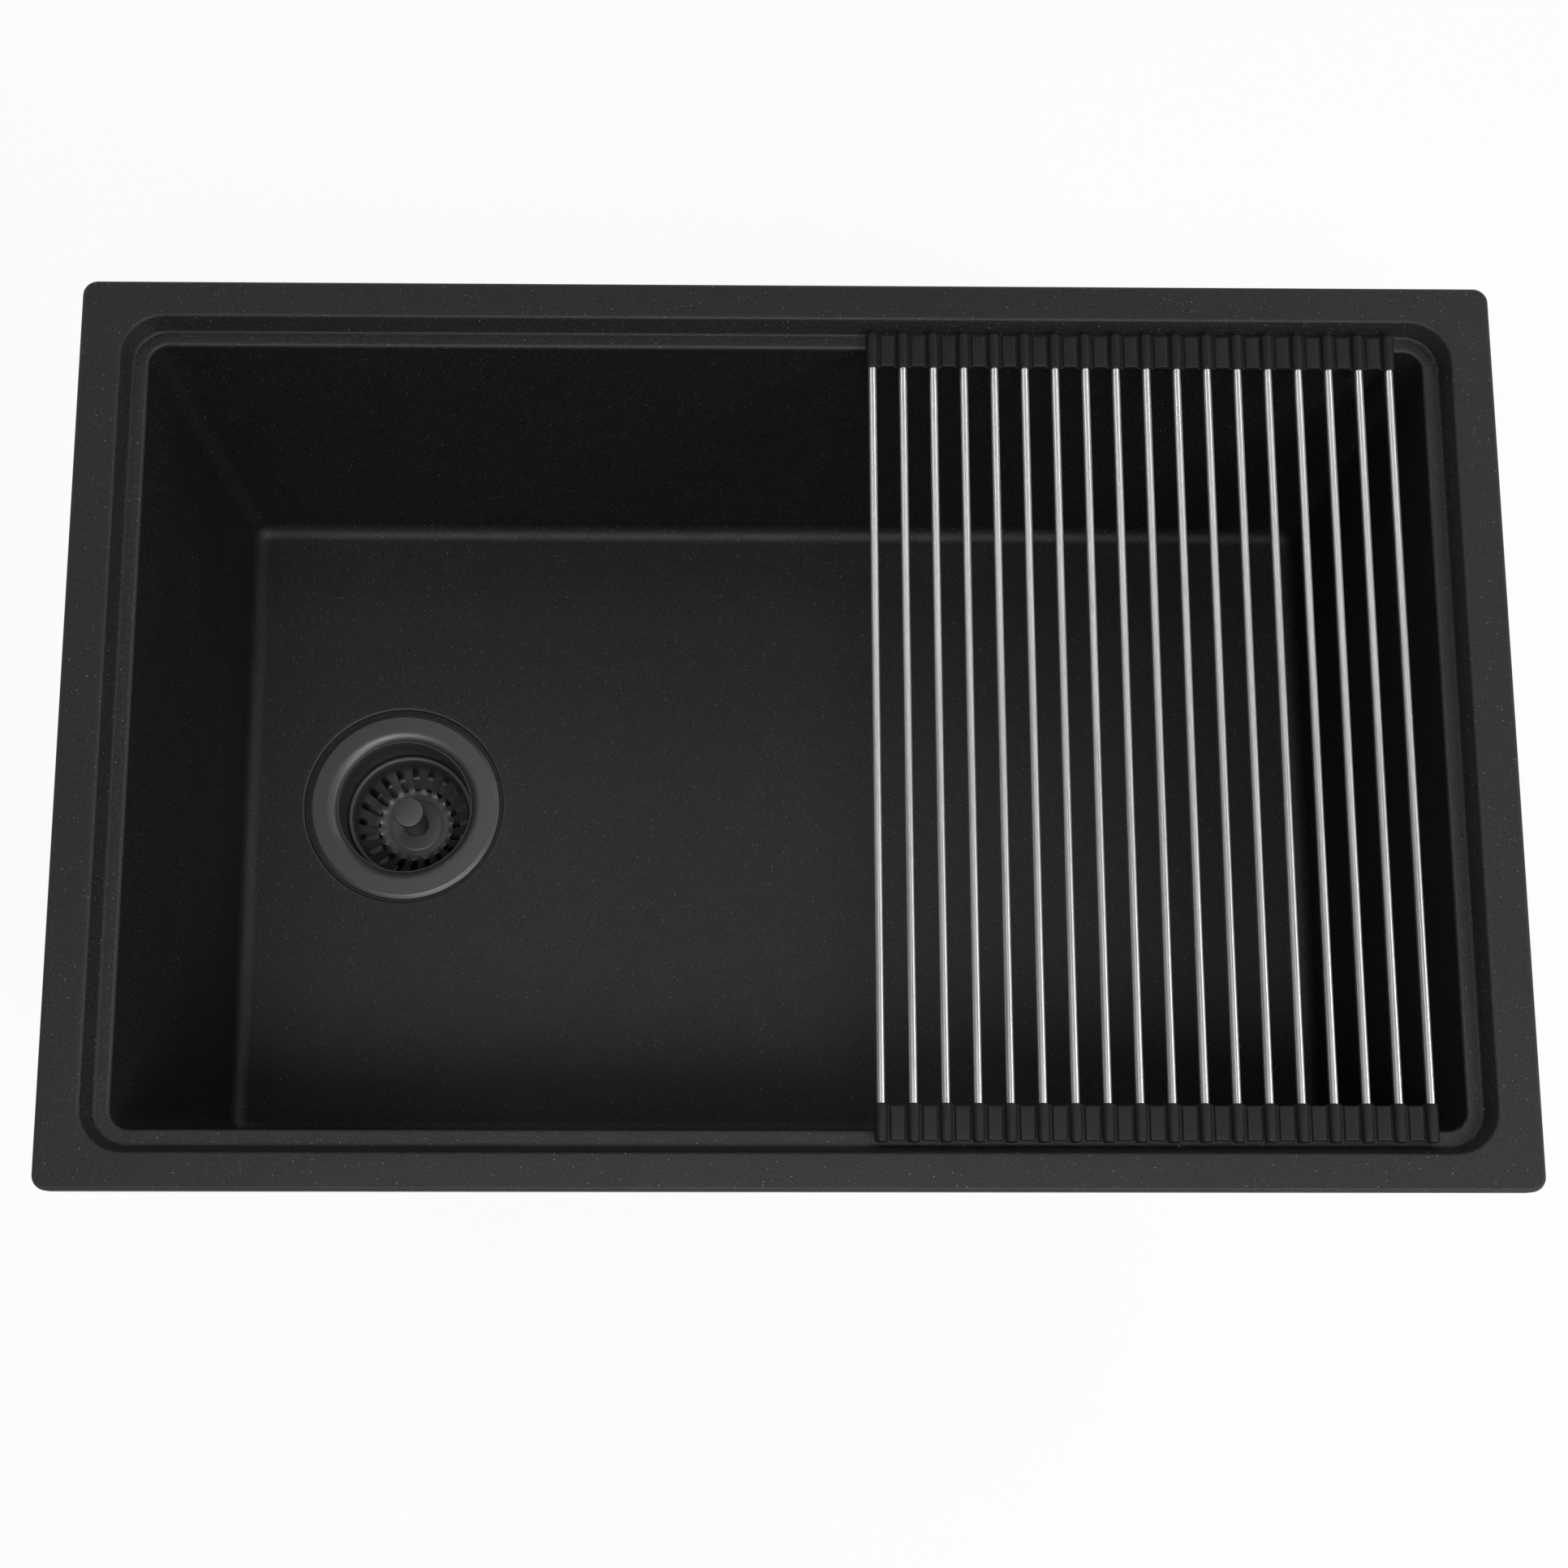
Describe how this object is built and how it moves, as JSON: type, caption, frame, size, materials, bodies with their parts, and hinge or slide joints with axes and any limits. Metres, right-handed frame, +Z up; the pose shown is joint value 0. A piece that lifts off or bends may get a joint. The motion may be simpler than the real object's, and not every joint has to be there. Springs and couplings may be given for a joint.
{
  "type": "workstation kitchen sink",
  "caption": "Black stone-composite single-bowl workstation sink with a stepped ledge, a roll-up drying rack, a lift-out basket strainer and worktop clips.",
  "frame": {"origin": "the middle of the rim's outline at the worktop's top face, which is the underside of the rim", "axes": "+X to the right along the sink's width, +Y to the back, +Z up out of the worktop"},
  "size_m": [0.762, 0.49, 0.372],
  "materials": {
    "black_stone": "satin moulded stone composite, black with fine pale flecks",
    "gunmetal": "matt charcoal coating, finely grained",
    "rod_steel": "drawn stainless steel, brushed along its length",
    "steel": "plain stainless steel",
    "silicone": "matt charcoal silicone",
    "rubber": "matt black rubber",
    "zinc": "bright zinc plate",
    "brass": "turned brass",
    "white_plastic": "plain white plastic and fibre"
  },
  "bodies": {
    "sink": {"sink_bowl": "black_stone", "strainer_body": "gunmetal", "flange_gasket": "white_plastic", "rubber_washer": "rubber", "friction_ring": "white_plastic", "lock_nut": "zinc", "tailpiece": "zinc", "tailpiece_washer": "white_plastic", "coupling_nut": "gunmetal", "clip_screws": "steel", "clip_inserts": "brass"},
    "stopper": {"stopper_seal": "rubber"},
    "basket": {"basket_cup": "gunmetal", "basket_plate": "gunmetal", "basket_knob": "gunmetal", "basket_post": "steel", "seal_retainer": "steel"},
    "rack_18": {"rack_rod_18": "rod_steel", "strip_link_18": "silicone"},
    "rack_17": {"rack_rod_17": "rod_steel", "strip_link_17": "silicone"},
    "rack_16": {"rack_rod_16": "rod_steel", "strip_link_16": "silicone"},
    "rack_15": {"rack_rod_15": "rod_steel", "strip_link_15": "silicone"},
    "rack_14": {"rack_rod_14": "rod_steel", "strip_link_14": "silicone"},
    "rack_13": {"rack_rod_13": "rod_steel", "strip_link_13": "silicone"},
    "rack_12": {"rack_rod_12": "rod_steel", "strip_link_12": "silicone"},
    "rack_11": {"rack_rod_11": "rod_steel", "strip_link_11": "silicone"},
    "rack_10": {"rack_rod_10": "rod_steel", "strip_link_10": "silicone"},
    "rack_09": {"rack_rod_09": "rod_steel", "strip_link_09": "silicone"},
    "rack_08": {"rack_rod_08": "rod_steel", "strip_link_08": "silicone"},
    "rack_07": {"rack_rod_07": "rod_steel", "strip_link_07": "silicone"},
    "rack_06": {"rack_rod_06": "rod_steel", "strip_link_06": "silicone"},
    "rack_05": {"rack_rod_05": "rod_steel", "strip_link_05": "silicone"},
    "rack_04": {"rack_rod_04": "rod_steel", "strip_link_04": "silicone"},
    "rack_03": {"rack_rod_03": "rod_steel", "strip_link_03": "silicone"},
    "rack_02": {"rack_rod_02": "rod_steel", "strip_link_02": "silicone"},
    "rack_01": {"rack_rod_01": "rod_steel", "strip_link_01": "silicone"},
    "clip_back_left": {"clip_back_left": "zinc"},
    "clip_back_right": {"clip_back_right": "zinc"},
    "clip_front_left": {"clip_front_left": "zinc"},
    "clip_front_right": {"clip_front_right": "zinc"},
    "clip_left": {"clip_left": "zinc"},
    "clip_right": {"clip_right": "zinc"}
  },
  "joints": [
    {"name": "basket_lift", "type": "slide", "parent": "sink", "child": "stopper", "axis": [0, 0, 1], "range_m": [0, 0.32]},
    {"name": "basket_turn", "type": "hinge", "parent": "stopper", "child": "basket", "pos_m": [-0.238, 0.012, -0.213], "axis": [0, 0, 1], "continuous": true},
    {"name": "rack_slide", "type": "slide", "parent": "sink", "child": "rack_12", "axis": [1, 0, 0], "range_m": [-0.383, 0.004]},
    {"name": "rack_roll_12", "type": "hinge", "parent": "rack_12", "child": "rack_13", "pos_m": [0.2355, -0.0005, 0.0034], "axis": [0, -1, 0], "range_deg": [0, 33.9]},
    {"name": "rack_roll_13", "type": "hinge", "parent": "rack_13", "child": "rack_14", "pos_m": [0.252, -0.0005, 0.0034], "axis": [0, -1, 0], "range_deg": [0, 32.82]},
    {"name": "rack_roll_14", "type": "hinge", "parent": "rack_14", "child": "rack_15", "pos_m": [0.2685, -0.0005, 0.0034], "axis": [0, -1, 0], "range_deg": [0, 31.8]},
    {"name": "rack_roll_15", "type": "hinge", "parent": "rack_15", "child": "rack_16", "pos_m": [0.285, -0.0005, 0.0034], "axis": [0, -1, 0], "range_deg": [0, 30.92]},
    {"name": "rack_roll_16", "type": "hinge", "parent": "rack_16", "child": "rack_17", "pos_m": [0.3015, -0.0005, 0.0034], "axis": [0, -1, 0], "range_deg": [0, 30.07]},
    {"name": "rack_roll_17", "type": "hinge", "parent": "rack_17", "child": "rack_18", "pos_m": [0.318, -0.0005, 0.0034], "axis": [0, -1, 0], "range_deg": [0, 29.29]},
    {"name": "rack_roll_11", "type": "hinge", "parent": "rack_12", "child": "rack_11", "pos_m": [0.219, -0.0005, 0.0034], "axis": [0, 1, 0], "range_deg": [0, 35.13]},
    {"name": "rack_roll_10", "type": "hinge", "parent": "rack_11", "child": "rack_10", "pos_m": [0.2025, -0.0005, 0.0034], "axis": [0, 1, 0], "range_deg": [0, 36.45]},
    {"name": "rack_roll_09", "type": "hinge", "parent": "rack_10", "child": "rack_09", "pos_m": [0.186, -0.0005, 0.0034], "axis": [0, 1, 0], "range_deg": [0, 37.97]},
    {"name": "rack_roll_08", "type": "hinge", "parent": "rack_09", "child": "rack_08", "pos_m": [0.1695, -0.0005, 0.0034], "axis": [0, 1, 0], "range_deg": [0, 39.7]},
    {"name": "rack_roll_07", "type": "hinge", "parent": "rack_08", "child": "rack_07", "pos_m": [0.153, -0.0005, 0.0034], "axis": [0, 1, 0], "range_deg": [0, 41.7]},
    {"name": "rack_roll_06", "type": "hinge", "parent": "rack_07", "child": "rack_06", "pos_m": [0.1365, -0.0005, 0.0034], "axis": [0, 1, 0], "range_deg": [0, 44.01]},
    {"name": "rack_roll_05", "type": "hinge", "parent": "rack_06", "child": "rack_05", "pos_m": [0.12, -0.0005, 0.0034], "axis": [0, 1, 0], "range_deg": [0, 46.75]},
    {"name": "rack_roll_04", "type": "hinge", "parent": "rack_05", "child": "rack_04", "pos_m": [0.1035, -0.0005, 0.0034], "axis": [0, 1, 0], "range_deg": [0, 50.11]},
    {"name": "rack_roll_03", "type": "hinge", "parent": "rack_04", "child": "rack_03", "pos_m": [0.087, -0.0005, 0.0034], "axis": [0, 1, 0], "range_deg": [0, 54.28]},
    {"name": "rack_roll_02", "type": "hinge", "parent": "rack_03", "child": "rack_02", "pos_m": [0.0705, -0.0005, 0.0034], "axis": [0, 1, 0], "range_deg": [0, 59.74]},
    {"name": "rack_roll_01", "type": "hinge", "parent": "rack_02", "child": "rack_01", "pos_m": [0.054, -0.0005, 0.0034], "axis": [0, 1, 0], "range_deg": [0, 67.26]},
    {"name": "clip_swing_back_left", "type": "hinge", "parent": "sink", "child": "clip_back_left", "pos_m": [-0.23, 0.228, -0.026], "axis": [0, 0, -1], "range_deg": [0, 90]},
    {"name": "clip_swing_back_right", "type": "hinge", "parent": "sink", "child": "clip_back_right", "pos_m": [0.23, 0.228, -0.026], "axis": [0, 0, -1], "range_deg": [0, 90]},
    {"name": "clip_swing_front_left", "type": "hinge", "parent": "sink", "child": "clip_front_left", "pos_m": [-0.23, -0.229, -0.026], "axis": [0, 0, -1], "range_deg": [0, 90]},
    {"name": "clip_swing_front_right", "type": "hinge", "parent": "sink", "child": "clip_front_right", "pos_m": [0.23, -0.229, -0.026], "axis": [0, 0, -1], "range_deg": [0, 90]},
    {"name": "clip_swing_left", "type": "hinge", "parent": "sink", "child": "clip_left", "pos_m": [-0.362, -0.0005, -0.026], "axis": [0, 0, -1], "range_deg": [0, 90]},
    {"name": "clip_swing_right", "type": "hinge", "parent": "sink", "child": "clip_right", "pos_m": [0.362, -0.0005, -0.026], "axis": [0, 0, -1], "range_deg": [0, 90]}
  ],
  "couplings": [
    {"joint": "rack_roll_13", "follows": "rack_roll_12", "ratio": 0.968},
    {"joint": "rack_roll_14", "follows": "rack_roll_12", "ratio": 0.938},
    {"joint": "rack_roll_15", "follows": "rack_roll_12", "ratio": 0.912},
    {"joint": "rack_roll_16", "follows": "rack_roll_12", "ratio": 0.887},
    {"joint": "rack_roll_17", "follows": "rack_roll_12", "ratio": 0.864},
    {"joint": "rack_roll_11", "follows": "rack_roll_12", "ratio": 1.036},
    {"joint": "rack_roll_10", "follows": "rack_roll_12", "ratio": 1.075},
    {"joint": "rack_roll_09", "follows": "rack_roll_12", "ratio": 1.12},
    {"joint": "rack_roll_08", "follows": "rack_roll_12", "ratio": 1.171},
    {"joint": "rack_roll_07", "follows": "rack_roll_12", "ratio": 1.23},
    {"joint": "rack_roll_06", "follows": "rack_roll_12", "ratio": 1.298},
    {"joint": "rack_roll_05", "follows": "rack_roll_12", "ratio": 1.379},
    {"joint": "rack_roll_04", "follows": "rack_roll_12", "ratio": 1.478},
    {"joint": "rack_roll_03", "follows": "rack_roll_12", "ratio": 1.601},
    {"joint": "rack_roll_02", "follows": "rack_roll_12", "ratio": 1.762},
    {"joint": "rack_roll_01", "follows": "rack_roll_12", "ratio": 1.984}
  ]
}
